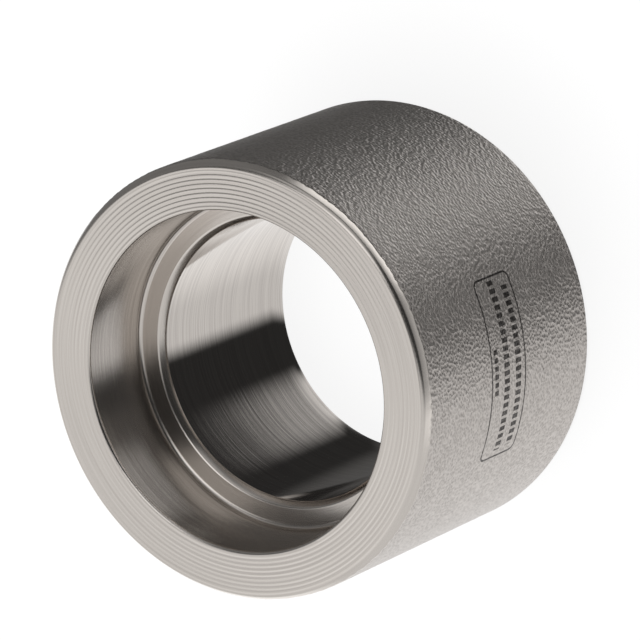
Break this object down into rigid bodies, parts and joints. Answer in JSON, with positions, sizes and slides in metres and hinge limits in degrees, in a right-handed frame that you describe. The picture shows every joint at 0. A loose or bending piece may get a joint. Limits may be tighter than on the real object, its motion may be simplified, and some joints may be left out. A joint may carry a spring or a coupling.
{
  "type": "socket weld half coupling",
  "caption": "Short thick-walled steel sleeve with a pipe socket and stop shoulder in one end and a flow bore running on through the plain other end.",
  "frame": {"origin": "centre of the plain end's face, which the part stands on", "axes": "+Z along the bore axis, from the plain end to the socket's mouth; the part is round about it, so X and Y are free"},
  "size_m": [0.0636, 0.0634, 0.0445],
  "materials": {
    "stainless_steel": "316L stainless steel: shot-blasted outside, with the socket face, socket, shoulder and bore turned bright"
  },
  "bodies": {
    "root": {"coupling_body": "stainless_steel"}
  },
  "joints": []
}
